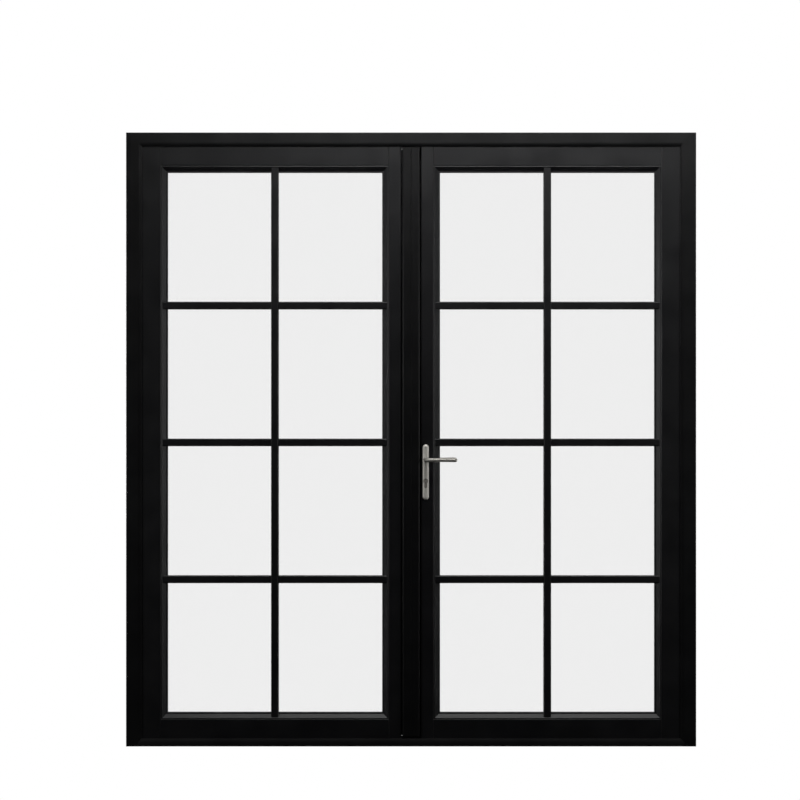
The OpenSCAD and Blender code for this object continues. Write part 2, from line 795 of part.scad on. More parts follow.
module post_screw_shanks(extra) {
    for (z = post_screw_zs) rod_x(-leaf_in - 9, -post_w / 2 + wall, leaf_mid_y, z, post_screw_r + extra);
}

module centre_post() color(black) difference() {
    union() {
        translate([0, 0, post_z0 + post_cap_t]) linear_extrude(post_z1 - post_z0 - 2 * post_cap_t) {
            difference() {
                round_rect(-post_w / 2, front_y, post_w / 2, back_y, post_r);
                translate([-post_w / 2 + wall, front_y + wall])
                    square([post_w - 2 * wall, frame_d - 2 * wall]);
                polygon([[-post_groove, front_y - 0.01], [post_groove, front_y - 0.01], [0, front_y + post_groove]]);
            }
            for (s = [-1, 1])
                translate([-leaf_in, leaf_mid_y + s * post_flange_y - post_flange_t / 2])
                    square([post_gap + wall, post_flange_t]);
        }
    }
    post_screw_shanks(play / 2);
    box([post_w / 2 - wall - 1, leaf_mid_y - faceplate_w / 2 - play, faceplate_z0 - play],
        [post_w / 2 + 1, leaf_mid_y + faceplate_w / 2 + play, faceplate_z1 + play]);
}

// Each cap carries a pad that fills the leaves' meeting gap behind the frame's lip
module post_end_caps() color(black) for (up = [false, true]) {
    translate([0, 0, up ? post_z1 - post_cap_t : post_z0]) linear_extrude(post_cap_t)
        round_rect(-post_w / 2, front_y, post_w / 2, back_y, post_r);
    box([-leaf_in, leaf_y0, up ? post_z1 : leaf_z0], [post_w / 2, leaf_y1, up ? leaf_z1 : post_z0]);
}

module lock_keep() color(nickel) difference() {
    box([post_w / 2 - wall, leaf_mid_y - faceplate_w / 2, faceplate_z0],
        [post_w / 2, leaf_mid_y + faceplate_w / 2, faceplate_z1]);
    bolt_hole(deadbolt_z, deadbolt_h, 0);
    bolt_hole(latch_z, latch_h, 0);
}

// The way through a plate for a bolt of this height
module bolt_hole(z, h, x0) {
    box([x0, leaf_mid_y - bolt_t / 2 - slide_play, z - h / 2 - slide_play],
        [lever_x, leaf_mid_y + bolt_t / 2 + slide_play, z + h / 2 + slide_play]);
}

// ---------- flush bolts of the left leaf ----------

// Where the slot for the thumb piece of a flush bolt runs: 1 is the upper bolt, 0 the lower
function flush_thumb_z(i) = i == 1
    ? [leaf_z1 - flush_l, leaf_z1 - flush_l + thumb_h + rod_travel]
    : [leaf_z0 + flush_l - thumb_h - rod_travel, leaf_z0 + flush_l];

module flush_bolt(z0, z1, thumb_z) {
    rod_z(z0, z1, -rod_x, leaf_mid_y, rod_r);
    box([-rod_x - thumb_w / 2, leaf_mid_y, thumb_z],
        [-rod_x + thumb_w / 2, leaf_y1 + thumb_out, thumb_z + thumb_h]);
}

module upper_flush_bolt() color(nickel)
    flush_bolt(flush_thumb_z(1)[0], leaf_z1 - rod_rest, flush_thumb_z(1)[0]);
module lower_flush_bolt() color(nickel)
    flush_bolt(leaf_z0 + rod_rest, flush_thumb_z(0)[1], flush_thumb_z(0)[1] - thumb_h);

// ---------- right leaf ----------

module right_hinge_stile() color(black) hinge_stile();

module right_meeting_stile() color(black) difference() {
    meeting_stile();
    box([leaf_in - 1, leaf_mid_y - faceplate_w / 2 - play, faceplate_z0 - play],
        [leaf_in + wall + 0.01, leaf_mid_y + faceplate_w / 2 + play, faceplate_z1 + play]);
    rod_y(leaf_y0 - 1, leaf_y1 + 1, lever_x, lever_z, spindle_hole_r + 1);
    euro_profile(leaf_y0 - 1, leaf_y1 + 1, play);
    for (z = plate_screw_zs) rod_y(leaf_y0 - 1, leaf_y1 + 1, lever_x, z, plate_screw_r + play / 2);
}

module right_top_rail() color(black) top_rail();
module right_bottom_rail() color(black) bottom_rail();
module right_corner_cleats() color(steel) corner_cleats();
module right_glass_panes() color("#dfe8ea", 0.35) glass_panes();
module right_spacer_grid() color(black) spacer_grid();
module right_glazing_beads() color(black) glazing_beads();
module right_glazing_gaskets() color(seal_black) glazing_gaskets();
module right_setting_blocks() color(seal_black) setting_blocks();
module right_front_bars() color(black) front_bars();
module right_back_bars() color(black) back_bars();
module right_leaf_hinges() color(black) leaf_hinges();
module right_hinge_bushes() color(nickel) hinge_bushes();

module right_screws() color(steel) {
    hinge_screw_column(leaf_screw_x);
    for (side = [-1, 1]) corner_ties(side, 0);
    for (z = plate_screw_zs) {
        rod_y(leaf_y0 - plate_t / 2, leaf_y1 + plate_t - 3, lever_x, z, plate_screw_r);
        rod_y(leaf_y1 + plate_t - 3, leaf_y1 + plate_t - 0.4, lever_x, z, plate_screw_head_r);
    }
    for (z = [faceplate_z0 + faceplate_screw_in, faceplate_z1 - faceplate_screw_in])
        rod_x(leaf_in, leaf_in + wall + 8, leaf_mid_y, z, 2);
}

module meeting_pile_seal() color(seal_black)
    box([leaf_in - pile_h, pile_y - pile_w / 2, leaf_z0], [leaf_in, pile_y + pile_w / 2, leaf_z1]);

// ---------- lock ----------

// The outline of a profile cylinder along Y, grown by extra
module euro_profile(y0, y1, extra) {
    rod_y(y0, y1, lever_x, cylinder_z, cylinder_r + extra);
    rod_y(y0, y1, lever_x, cylinder_z - cylinder_web_drop, cylinder_web_r + extra);
    box([lever_x - cylinder_web_r - extra, y0, cylinder_z - cylinder_web_drop],
        [lever_x + cylinder_web_r + extra, y1, cylinder_z]);
}

module lock_case() color(steel) difference() {
    box([case_x0, leaf_mid_y - case_t / 2, case_z0], [case_x1, leaf_mid_y + case_t / 2, case_z1]);
    box([case_x0 - 1, leaf_mid_y - case_t / 2 + case_wall, case_z0 + case_wall],
        [case_x1 - case_wall, leaf_mid_y + case_t / 2 - case_wall, case_z1 - case_wall]);
    rod_y(leaf_y0, leaf_y1, lever_x, lever_z, follower_r + running);
    euro_profile(leaf_y0, leaf_y1, play);
    rod_z(case_z0 - 1, case_z1 + 1, rod_x, leaf_mid_y, rod_r + slide_play);
}

module lock_faceplate() color(nickel) difference() {
    box([leaf_in, leaf_mid_y - faceplate_w / 2, faceplate_z0],
        [leaf_in + wall, leaf_mid_y + faceplate_w / 2, faceplate_z1]);
    bolt_hole(deadbolt_z, deadbolt_h, leaf_in - 1);
    bolt_hole(latch_z, latch_h, leaf_in - 1);
    for (z = [faceplate_z0 + faceplate_screw_in, faceplate_z1 - faceplate_screw_in])
        rod_x(leaf_in - 1, leaf_in + wall + 1, leaf_mid_y, z, 2 + play / 2);
}

module lock_follower() color(steel) difference() {
    rod_y(leaf_mid_y - follower_w / 2, leaf_mid_y + follower_w / 2, lever_x, lever_z, follower_r);
    spindle_bar(leaf_mid_y - follower_w, leaf_mid_y + follower_w, play / 2);
}

module spindle_bar(y0, y1, extra) {
    h = spindle_side / 2 + extra;
    box([lever_x - h, y0, lever_z - h], [lever_x + h, y1, lever_z + h]);
}

module spindle() color(steel)
    spindle_bar(leaf_y0 - plate_t - grip_out + grip_r, leaf_y1 + plate_t + grip_out - grip_r, 0);

module cylinder_body() color(nickel) difference() {
    euro_profile(leaf_y0 - plate_t - cylinder_out, leaf_y1 + plate_t + cylinder_out, 0);
    rod_y(leaf_y0 - 20, leaf_y1 + 20, lever_x, cylinder_z, plug_r + running);
}

module cylinder_plug() color(nickel) difference() {
    rod_y(leaf_y0 - plate_t - cylinder_out - 0.5, leaf_y1 + plate_t + cylinder_out + 0.5, lever_x, cylinder_z, plug_r);
    for (y = [leaf_y0 - plate_t - cylinder_out - 1, leaf_y1 + plate_t + cylinder_out - 14])
        box([lever_x - key_slot[0] / 2, y, cylinder_z - key_slot[1] / 2],
            [lever_x + key_slot[0] / 2, y + 15, cylinder_z + key_slot[1] / 2]);
}

module deadbolt() color(nickel)
    box([leaf_in, leaf_mid_y - bolt_t / 2, deadbolt_z - deadbolt_h / 2],
        [leaf_in + bolt_l, leaf_mid_y + bolt_t / 2, deadbolt_z + deadbolt_h / 2]);

module latch_bolt() color(nickel)
    box([leaf_in, leaf_mid_y - bolt_t / 2, latch_z - latch_h / 2],
        [leaf_in + bolt_l, leaf_mid_y + bolt_t / 2, latch_z + latch_h / 2]);

module upper_shootbolt() color(steel)
    rod_z(latch_z - latch_h / 2, leaf_z1 - rod_rest, rod_x, leaf_mid_y, rod_r);
module lower_shootbolt() color(steel)
    rod_z(leaf_z0 + rod_rest, deadbolt_z, rod_x, leaf_mid_y, rod_r);

// ---------- handle ----------

// A backplate on the front, its flat side on the leaf; back is the same shape seen in the leaf's middle plane
module backplate(through) {
    difference() {
        union() {
            for (z = plate_screw_zs) rod_y(leaf_y0 - plate_t, leaf_y0, lever_x, z, plate_w / 2);
            box([lever_x - plate_w / 2, leaf_y0 - plate_t, plate_bottom + plate_w / 2],
                [lever_x + plate_w / 2, leaf_y0, plate_top - plate_w / 2]);
        }
        rod_y(leaf_y0 - plate_t - 1, leaf_y0 + 1, lever_x, lever_z, spindle_hole_r);
        euro_profile(leaf_y0 - plate_t - 1, leaf_y0 + 1, play);
        for (z = plate_screw_zs) {
            rod_y(leaf_y0 - (through ? plate_t + 1 : plate_t / 2), leaf_y0 + 1, lever_x, z,
                  plate_screw_r + play / 2);
            if (through) rod_y(leaf_y0 - plate_t - 1, leaf_y0 - plate_t + 3, lever_x, z, plate_screw_head_r + play);
        }
    }
}

module lever() {
    y0 = leaf_y0 - plate_t - neck_gap;
    grip_y = leaf_y0 - plate_t - grip_out;
    difference() {
        union() {
            rod_y(grip_y, y0, lever_x, lever_z, neck_r);
            translate([lever_x, grip_y, lever_z]) sphere(neck_r, $fn = round_fn);
            rod_x(lever_x, lever_x + lever_reach - tip_r, grip_y, lever_z, grip_r);
            translate([lever_x + lever_reach - tip_r, grip_y, lever_z]) sphere(tip_r, $fn = round_fn);
        }
        spindle_bar(grip_y + grip_r - play, y0 + 1, play / 2);
    }
}

// Carries a shape from the front of the leaf to its back
module on_back() {
    translate([0, 2 * leaf_mid_y, 0]) mirror([0, 1, 0]) children();
}

module front_backplate() color(nickel) backplate(false);
module back_backplate() color(nickel) on_back() backplate(true);
module front_lever() color(nickel) lever();
module back_lever() color(nickel) on_back() lever();

head_profile();
left_jamb();
right_jamb();
threshold();
frame_corner_cleats();
frame_seals();
frame_hinge_halves();
hinge_pins();
bolt_keeps();
frame_screws();
left_hinge_stile();
left_meeting_stile();
left_top_rail();
left_bottom_rail();
left_corner_cleats();
left_glass_panes();
left_spacer_grid();
left_glazing_beads();
left_glazing_gaskets();
left_setting_blocks();
left_front_bars();
left_back_bars();
left_leaf_hinges();
left_hinge_bushes();
left_screws();
centre_post();
post_end_caps();
lock_keep();
upper_flush_bolt();
lower_flush_bolt();
right_hinge_stile();
right_meeting_stile();
right_top_rail();
right_bottom_rail();
right_corner_cleats();
right_glass_panes();
right_spacer_grid();
right_glazing_beads();
right_glazing_gaskets();
right_setting_blocks();
right_front_bars();
right_back_bars();
right_leaf_hinges();
right_hinge_bushes();
right_screws();
meeting_pile_seal();
lock_case();
lock_faceplate();
front_backplate();
back_backplate();
cylinder_body();
lock_follower();
spindle();
front_lever();
back_lever();
cylinder_plug();
deadbolt();
latch_bolt();
upper_shootbolt();
lower_shootbolt();
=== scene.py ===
"""French doors of black powder-coated aluminium, with sealed glass and a satin nickel lever."""

import math

import bmesh
import bpy
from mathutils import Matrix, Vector


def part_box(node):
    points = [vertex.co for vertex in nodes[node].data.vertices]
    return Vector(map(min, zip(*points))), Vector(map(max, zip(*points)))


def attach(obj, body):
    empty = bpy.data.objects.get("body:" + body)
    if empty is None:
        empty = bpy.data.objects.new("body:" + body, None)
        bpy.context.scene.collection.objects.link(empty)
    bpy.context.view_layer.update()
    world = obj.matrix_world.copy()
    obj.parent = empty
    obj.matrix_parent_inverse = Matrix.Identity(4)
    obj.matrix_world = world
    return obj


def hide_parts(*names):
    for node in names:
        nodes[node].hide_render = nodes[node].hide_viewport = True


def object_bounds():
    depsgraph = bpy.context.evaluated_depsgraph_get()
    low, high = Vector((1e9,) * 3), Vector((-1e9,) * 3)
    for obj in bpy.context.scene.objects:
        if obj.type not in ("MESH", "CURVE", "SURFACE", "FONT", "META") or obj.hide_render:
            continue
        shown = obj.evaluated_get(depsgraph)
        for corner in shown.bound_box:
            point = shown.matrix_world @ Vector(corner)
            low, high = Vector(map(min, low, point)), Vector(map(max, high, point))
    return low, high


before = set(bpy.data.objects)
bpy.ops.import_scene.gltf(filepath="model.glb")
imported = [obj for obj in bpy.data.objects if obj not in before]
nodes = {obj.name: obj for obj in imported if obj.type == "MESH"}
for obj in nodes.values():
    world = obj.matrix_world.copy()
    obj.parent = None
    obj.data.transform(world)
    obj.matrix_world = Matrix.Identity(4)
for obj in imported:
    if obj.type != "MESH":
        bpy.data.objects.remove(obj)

cad_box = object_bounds()
MM = 0.001

# ---------- camera ----------
# It stands square to the doors, a little left of their middle and at chest height. A long lens
# from far off keeps the depth of the profiles from showing, with white all round the frame.

front_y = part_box("head_profile")[0].y
view_width = 2.736
left_of_middle = 0.038
chest_height = 1.185
sensor = 36
lens = 216
distance = view_width * lens / sensor

bpy.ops.object.camera_add(
    location=(-left_of_middle, front_y - distance, chest_height), rotation=(math.radians(90), 0, 0)
)
camera = bpy.context.object
camera.name = "camera"
camera.data.lens = lens
camera.data.sensor_width = sensor
bpy.context.scene.camera = camera
bpy.context.scene.view_settings.view_transform = "Standard"


# ---------- white studio ----------
# A white sky and a white floor are what the lens and the glass see. What glints off the doors
# sees a dim room: darkest behind the camera, where a black flag hangs, paler overhead and palest
# behind the doors.

def linear(code):
    """An sRGB hex colour as linear RGBA."""
    parts = [int(code[i : i + 2], 16) / 255 for i in (1, 3, 5)]
    return [p / 12.92 if p <= 0.04045 else ((p + 0.055) / 1.055) ** 2.4 for p in parts] + [1]


def add(tree, kind, links=None, values=None, **settings):
    """A node with its settings, its socket values and the outputs that feed it."""
    node = tree.nodes.new(kind)
    for name, value in settings.items():
        setattr(node, name, value)
    for name, value in (values or {}).items():
        node.inputs[name].default_value = value
    for name, source in (links or {}).items():
        tree.links.new(source, node.inputs[name])
    return node


def dim_rays(tree):
    """0 for what is seen directly or through glass, and 1 for every other ray."""
    path = add(tree, "ShaderNodeLightPath").outputs
    seen = add(
        tree, "ShaderNodeMath", {0: path["Is Camera Ray"], 1: path["Is Transmission Ray"]},
        operation="MAXIMUM",
    )
    return add(
        tree, "ShaderNodeMath", {1: seen.outputs[0]}, {0: 1.0}, operation="SUBTRACT"
    ).outputs[0]


world = bpy.data.worlds.new("studio")
bpy.context.scene.world = world
world.use_nodes = True
sky = world.node_tree
sky.nodes.clear()
white = add(sky, "ShaderNodeBackground", values={"Color": linear("#ffffff"), "Strength": 1.0})
direction = add(sky, "ShaderNodeTexCoord")
axes = add(sky, "ShaderNodeSeparateXYZ", {0: direction.outputs["Generated"]})
ceiling = add(
    sky, "ShaderNodeMapRange", {"Value": axes.outputs["Z"]},
    {"From Min": -0.25, "From Max": 0.9, "To Min": 0.02, "To Max": 0.3},
)
flag = add(
    sky, "ShaderNodeMapRange", {"Value": axes.outputs["Y"]},
    {"From Min": -0.95, "From Max": 1.0, "To Min": 0.1, "To Max": 4.5},
)
strength = add(
    sky, "ShaderNodeMath", {0: ceiling.outputs[0], 1: flag.outputs[0]}, operation="MULTIPLY"
)
room = add(
    sky, "ShaderNodeBackground", {"Strength": strength.outputs[0]}, {"Color": linear("#ffffff")}
)
seen = add(
    sky, "ShaderNodeMixShader", {0: dim_rays(sky), 1: white.outputs[0], 2: room.outputs[0]}
)
add(sky, "ShaderNodeOutputWorld", {"Surface": seen.outputs[0]})

bpy.ops.mesh.primitive_plane_add(size=60, location=(0, 0, cad_box[0].z))
floor = bpy.context.object
floor.name = "floor"
paper = bpy.data.materials.new("white_paper_floor")
paper.use_nodes = True
tree = paper.node_tree
tree.nodes.clear()
glow = add(tree, "ShaderNodeEmission", values={"Color": linear("#ffffff"), "Strength": 1.0})
dull = add(tree, "ShaderNodeBsdfDiffuse", values={"Color": linear("#141414")})
seen = add(
    tree, "ShaderNodeMixShader", {0: dim_rays(tree), 1: glow.outputs[0], 2: dull.outputs[0]}
)
add(tree, "ShaderNodeOutputMaterial", {"Surface": seen.outputs[0]})
floor.data.materials.append(paper)


def soft_box(name, place, target, width, height, power, spread=180):
    """A soft box at a place, turned to face a point. A grid on it narrows its spread."""
    bpy.ops.object.light_add(type="AREA", location=place)
    lamp = bpy.context.object
    lamp.name = name
    lamp.data.shape = "RECTANGLE"
    lamp.data.size = width
    lamp.data.size_y = height
    lamp.data.spread = math.radians(spread)
    lamp.data.energy = power
    lamp.visible_camera = False
    lamp.visible_transmission = False
    lamp.rotation_euler = (Vector(target) - Vector(place)).to_track_quat("-Z", "Y").to_euler()


# The key hangs over the front, so the faces fade from the head down to the threshold. The side
# boxes fill the handle and the beads, and the back ones stay below the top of the frame.
soft_box(
    "key_soft_box", (0.35, -1.5, 2.95), (0.3, 0, 1.95), width=2.2, height=0.6, power=14, spread=85
)
soft_box("left_soft_box", (-2.7, -2.2, 1.3), (0, 0, 1.0), width=1.2, height=1.4, power=20)
soft_box("right_soft_box", (2.7, -2.2, 1.3), (0, 0, 1.0), width=1.2, height=1.4, power=20)
soft_box("back_left_soft_box", (-2.4, 3.0, 1.35), (0, 0, 1.2), width=1.6, height=1.4, power=80)
soft_box("back_right_soft_box", (2.6, 2.6, 1.35), (0, 0, 1.1), width=1.2, height=1.4, power=45)

# A black card that no lens sees keeps the key light off the top of the frame.
card_width, card_height = 2.6, 0.25
card_middle = cad_box[1].z + 0.13
bpy.ops.mesh.primitive_plane_add(
    size=1, location=(0, front_y + 2 * MM, card_middle), rotation=(math.radians(90), 0, 0)
)
card = bpy.context.object
card.name = "top_card"
card.scale = (card_width, card_height, 1)
card.visible_camera = False
card.visible_transmission = False
black = bpy.data.materials.new("black_card")
black.use_nodes = True
black.node_tree.nodes["Principled BSDF"].inputs["Base Color"].default_value = linear("#050505")
card.data.materials.append(black)


# ---------- frame, leaves and centre post ----------
# Hollow aluminium extrusions, mitred or butted and tied with cleats inside, then coated with a
# satin black polyester powder. The die leaves their long edges a little round.

def new_material(name, **shader_values):
    """A material with its tree, its Principled shader and the Object coordinates to build on."""
    material = bpy.data.materials.new(name)
    material.use_nodes = True
    tree = material.node_tree
    shader = tree.nodes["Principled BSDF"]
    for socket, value in shader_values.items():
        shader.inputs[socket.replace("_", " ")].default_value = value
    place = add(tree, "ShaderNodeTexCoord").outputs["Object"]
    return material, tree, shader, place


def feed(tree, shader, **outputs):
    """Links outputs into the shader's sockets."""
    for socket, output in outputs.items():
        tree.links.new(output, shader.inputs[socket.replace("_", " ")])


def blend(tree, factor, dark, pale):
    """A colour that runs from dark to pale with a factor."""
    mix = add(tree, "ShaderNodeMix", {0: factor}, data_type="RGBA")
    mix.inputs[6].default_value = linear(dark)
    mix.inputs[7].default_value = linear(pale)
    return mix.outputs[2]


def ramp(tree, noise, low, high):
    """A noise, which keeps mostly to 0.3..0.7, spread over low..high."""
    return add(
        tree, "ShaderNodeMapRange", {"Value": noise},
        {"From Min": 0.3, "From Max": 0.7, "To Min": low, "To Max": high},
    ).outputs[0]


def powder_coat(name, dark, pale, ior):
    """Satin black polyester powder: fine orange peel, and patches a shade glossier than others."""
    patch_size, peel_size = 80 * MM, 1.5 * MM
    material, tree, shader, place = new_material(name, IOR=ior)
    patches = add(
        tree, "ShaderNodeTexNoise", {"Vector": place}, {"Scale": 1 / patch_size, "Detail": 3}
    )
    patchy = patches.outputs["Fac"]
    peel = add(
        tree, "ShaderNodeTexNoise", {"Vector": place}, {"Scale": 1 / peel_size, "Detail": 1}
    )
    bump = add(
        tree, "ShaderNodeBump", {"Height": peel.outputs["Fac"]},
        {"Strength": 0.12, "Distance": 0.05 * MM},
    )
    feed(
        tree, shader, Base_Color=blend(tree, patchy, dark, pale),
        Roughness=ramp(tree, patchy, 0.29, 0.34), Normal=bump.outputs[0],
    )
    return material


def activate(piece):
    """Selects one piece alone, in object mode."""
    if bpy.context.object and bpy.context.object.mode != "OBJECT":
        bpy.ops.object.mode_set(mode="OBJECT")
    bpy.ops.object.select_all(action="DESELECT")
    piece.select_set(True)
    bpy.context.view_layer.objects.active = piece


def smooth(piece, angle=35):
    """Smooths the rounded edges and keeps the flat faces flat."""
    activate(piece)
    bpy.ops.object.shade_smooth_by_angle(angle=math.radians(angle))
    flat = piece.modifiers.new("flat_faces", "WEIGHTED_NORMAL")
    flat.weight = 100
    flat.keep_sharp = True
    bpy.ops.object.modifier_apply(modifier=flat.name)


def finish(piece, body, material):
    """Dresses a new piece and hangs it on its body."""
    piece.data.materials.clear()
    piece.data.materials.append(material)
    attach(piece, body)


def eased(name, body, material, width, segments=2, shortest=6 * MM):
    """Stands for a CAD piece: the same shape, with all but its short sharp edges rounded."""
    piece = bpy.data.objects.new(name + "_eased", nodes[name].data.copy())
    bpy.context.scene.collection.objects.link(piece)
    activate(piece)
    bpy.ops.object.mode_set(mode="EDIT")
    bpy.ops.mesh.select_all(action="SELECT")
    bpy.ops.mesh.remove_doubles(threshold=0.002 * MM)
    bpy.ops.mesh.dissolve_limited(angle_limit=math.radians(0.5))
    bpy.ops.mesh.select_mode(type="EDGE")
    bpy.ops.mesh.select_all(action="DESELECT")
    mesh = bmesh.from_edit_mesh(piece.data)
    for edge in mesh.edges:
        if edge.is_manifold and edge.calc_face_angle() > math.radians(32):
            edge.select_set(edge.calc_length() > shortest)
    bmesh.update_edit_mesh(piece.data)
    bpy.ops.mesh.bevel(offset=width, segments=segments, profile=0.5, clamp_overlap=True)
    bpy.ops.mesh.select_mode(type="VERT")
    bpy.ops.object.mode_set(mode="OBJECT")
    smooth(piece)
    finish(piece, body, material)
    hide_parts(name)
    return piece


# The frame and the leaves wear one powder coat. The frame's copy is painted a shade darker, as
# painted shade, and given a lower IOR that dulls its gloss, so the frame reads dimmer than the
# leaves.
shaded_frame_black = powder_coat("powder_coated_frame_shaded", "#060607", "#0a0a0b", 1.42)
leaf_black = powder_coat("powder_coated_leaves", "#08080a", "#0c0c0e", 1.55)

for name in ("head_profile", "left_jamb", "right_jamb", "threshold"):
    eased(name, "frame", shaded_frame_black, 0.5 * MM)
eased("centre_post", "left_leaf", shaded_frame_black, 0.4 * MM)
for side in ("left", "right"):
    for part in ("_hinge_stile", "_meeting_stile", "_top_rail", "_bottom_rail"):
        eased(side + part, side + "_leaf", leaf_black, 0.7 * MM, 3)


# ---------- glazing beads, bars and post caps ----------
# Beads are snapped in and mitred, bars are stuck on and scribed to the beads. Both are sawn from
# coated extrusions. The post ends in moulded caps with a pad that fills the leaves' gap.

for side in ("left", "right"):
    body = side + "_leaf"
    eased(side + "_glazing_beads", body, leaf_black, 0.8 * MM, 3)
    eased(side + "_front_bars", body, leaf_black, 0.6 * MM)
    eased(side + "_back_bars", body, leaf_black, 0.6 * MM)
eased("post_end_caps", "left_leaf", shaded_frame_black, 0.4 * MM)


# ---------- glass ----------
# Two 4 mm panes of float glass a 16 mm gap apart in each leaf. Together they take a seventh
# of the light, so the white behind looks faintly grey. Lamps shine through them.

glass, tree, shader, place = new_material(
    "float_glass", Base_Color=linear("#f8f8f8"), IOR=1.45, Roughness=0.0, Transmission_Weight=1.0
)
clear = add(tree, "ShaderNodeBsdfTransparent", values={"Color": linear("#eef0ef")})
lamp_ray = add(tree, "ShaderNodeLightPath").outputs["Is Shadow Ray"]
pane = add(
    tree, "ShaderNodeMixShader", {0: lamp_ray, 1: shader.outputs[0], 2: clear.outputs[0]}
)
tree.links.new(pane.outputs[0], tree.nodes["Material Output"].inputs["Surface"])
wave_length = 250 * MM
wave = add(tree, "ShaderNodeTexNoise", {"Vector": place}, {"Scale": 1 / wave_length, "Detail": 0})
bump = add(
    tree, "ShaderNodeBump", {"Height": wave.outputs["Fac"]},
    {"Strength": 0.02, "Distance": 0.1 * MM},
)
feed(tree, shader, Normal=bump.outputs[0])


def dress(name, material):
    """Gives a CAD piece its finish."""
    slots = nodes[name].data.materials
    slots.clear()
    slots.append(material)


for side in ("left_", "right_"):
    dress(side + "glass_panes", glass)


# ---------- spacers, blocks and other hidden fittings ----------
# Warm-edge spacers and cavity bars between the panes, plastic blocks under the glass, mill-finish
# cleats in the corners, and zinc-plated steel for the lock's insides.

def speckled(name, dark, pale, grain_size, low, high, metallic=0.0):
    """A plain material with a fine grain in its colour and its roughness."""
    material, tree, shader, place = new_material(name, Metallic=metallic)
    grain = add(
        tree, "ShaderNodeTexNoise", {"Vector": place}, {"Scale": 1 / grain_size, "Detail": 3}
    )
    speck = grain.outputs["Fac"]
    feed(
        tree, shader, Base_Color=blend(tree, speck, dark, pale),
        Roughness=ramp(tree, speck, low, high),
    )
    return material


# Matt black foam spacer, streaky extruded aluminium, milky and black moulded plastics with a
# moulding texture, and zinc plate with the faint cold spangle that passivating leaves.
spacer = speckled("warm_edge_spacer", "#0e0e0f", "#171718", 2 * MM, 0.5, 0.6)
mill = speckled("mill_aluminium", "#b4b6b8", "#c9cbcc", 4 * MM, 0.35, 0.5, metallic=1.0)
nylon = speckled("natural_nylon", "#c9c7be", "#d6d4cb", 1 * MM, 0.45, 0.55)
block = speckled("black_polypropylene", "#121212", "#1a1a1a", 1 * MM, 0.45, 0.6)
zinc = speckled("bright_zinc_plate", "#a9adb3", "#c3c6ca", 6 * MM, 0.24, 0.36, metallic=1.0)

dress("frame_corner_cleats", mill)
for side in ("left_", "right_"):
    dress(side + "spacer_grid", spacer)
    dress(side + "corner_cleats", mill)
    dress(side + "setting_blocks", block)
    dress(side + "hinge_bushes", nylon)
for name in ("bolt_keeps", "lock_case", "lock_follower", "spindle"):
    dress(name, zinc)


# ---------- gaskets, seals and pile ----------
# Extruded EPDM rubber: wedge gaskets on both sides of the glass and a seal behind the frame's
# lips, matt with a trace of bloom. The meeting gap is closed by a strip of woven pile.

rubber, tree, shader, place = new_material("epdm_rubber", IOR=1.5)
bloom_size = 12 * MM
bloom = add(tree, "ShaderNodeTexNoise", {"Vector": place}, {"Scale": 1 / bloom_size, "Detail": 4})
feed(
    tree, shader, Base_Color=blend(tree, bloom.outputs["Fac"], "#080808", "#101010"),
    Roughness=ramp(tree, bloom.outputs["Fac"], 0.55, 0.7),
)
for side in ("left", "right"):
    eased(side + "_glazing_gaskets", side + "_leaf", rubber, 1.0 * MM, 3)
eased("frame_seals", "frame", rubber, 1.0 * MM, 3)

pile, tree, shader, place = new_material("woven_pile", Roughness=0.9, Sheen_Weight=0.15)
tuft_size = (4 * MM, 0.5 * MM, 0.3 * MM)
tufts = add(
    tree, "ShaderNodeMapping", {"Vector": place}, {"Scale": [1 / side for side in tuft_size]}
)
tuft = add(tree, "ShaderNodeTexNoise", {"Vector": tufts.outputs[0]}, {"Scale": 1.0, "Detail": 2})
feed(tree, shader, Base_Color=blend(tree, tuft.outputs["Fac"], "#060606", "#141414"))

low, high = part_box("meeting_pile_seal")
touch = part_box("centre_post")[1].x + 0.03 * MM
bpy.ops.mesh.primitive_cube_add(
    size=1, location=((touch + high.x) / 2, (low.y + high.y) / 2, (low.z + high.z) / 2)
)
strip = bpy.context.object
strip.name = "meeting_pile"
strip.scale = (high.x - touch, high.y - low.y, high.z - low.z)
activate(strip)
bpy.ops.object.transform_apply(location=True, rotation=True, scale=True)
finish(strip, "right_leaf", pile)
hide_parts("meeting_pile_seal")


# ---------- hinges and screws ----------
# Steel hinges on the back faces, coated with the profiles: rolled knuckles on a zinc-plated pin,
# and plates held by button-head screws with hexagon sockets.

def socket_heads(piece, head_area):
    """Cuts a hexagon socket into every round face of about this area that looks back."""
    centres = [
        face.center.copy() for face in piece.data.polygons
        if face.normal.y > 0.99 and len(face.vertices) > 8
        and 0.5 < face.area / head_area < 1.5
    ]
    cutters = []
    for centre in centres:
        bpy.ops.mesh.primitive_cylinder_add(
            vertices=6, radius=socket_radius, depth=2 * socket_depth, location=centre,
            rotation=(math.radians(90), 0, 0),
        )
        cutters.append(bpy.context.object)
    bpy.ops.object.select_all(action="DESELECT")
    for cutter in cutters:
        cutter.select_set(True)
    bpy.context.view_layer.objects.active = cutters[0]
    bpy.ops.object.join()
    cutter = bpy.context.object
    activate(piece)
    cut = piece.modifiers.new("sockets", "BOOLEAN")
    cut.object = cutter
    bpy.ops.object.modifier_apply(modifier=cut.name)
    bpy.data.objects.remove(cutter, do_unlink=True)
    smooth(piece)


socket_radius = 2.0 * MM
socket_depth = 1.2 * MM
head_area = math.pi * (3.4 * MM) ** 2
small = 0.2 * MM
eased("frame_hinge_halves", "frame", shaded_frame_black, 0.4 * MM, 2, small)
eased("hinge_pins", "frame", zinc, 0.7 * MM, 3, small)
socket_heads(eased("frame_screws", "frame", zinc, 0.9 * MM, 3, small), head_area)
for side in ("left", "right"):
    body = side + "_leaf"
    eased(side + "_leaf_hinges", body, leaf_black, 0.4 * MM, 2, small)
    screws = eased(side + "_screws", body, zinc, 0.9 * MM, 3, small)
    socket_heads(screws, head_area)
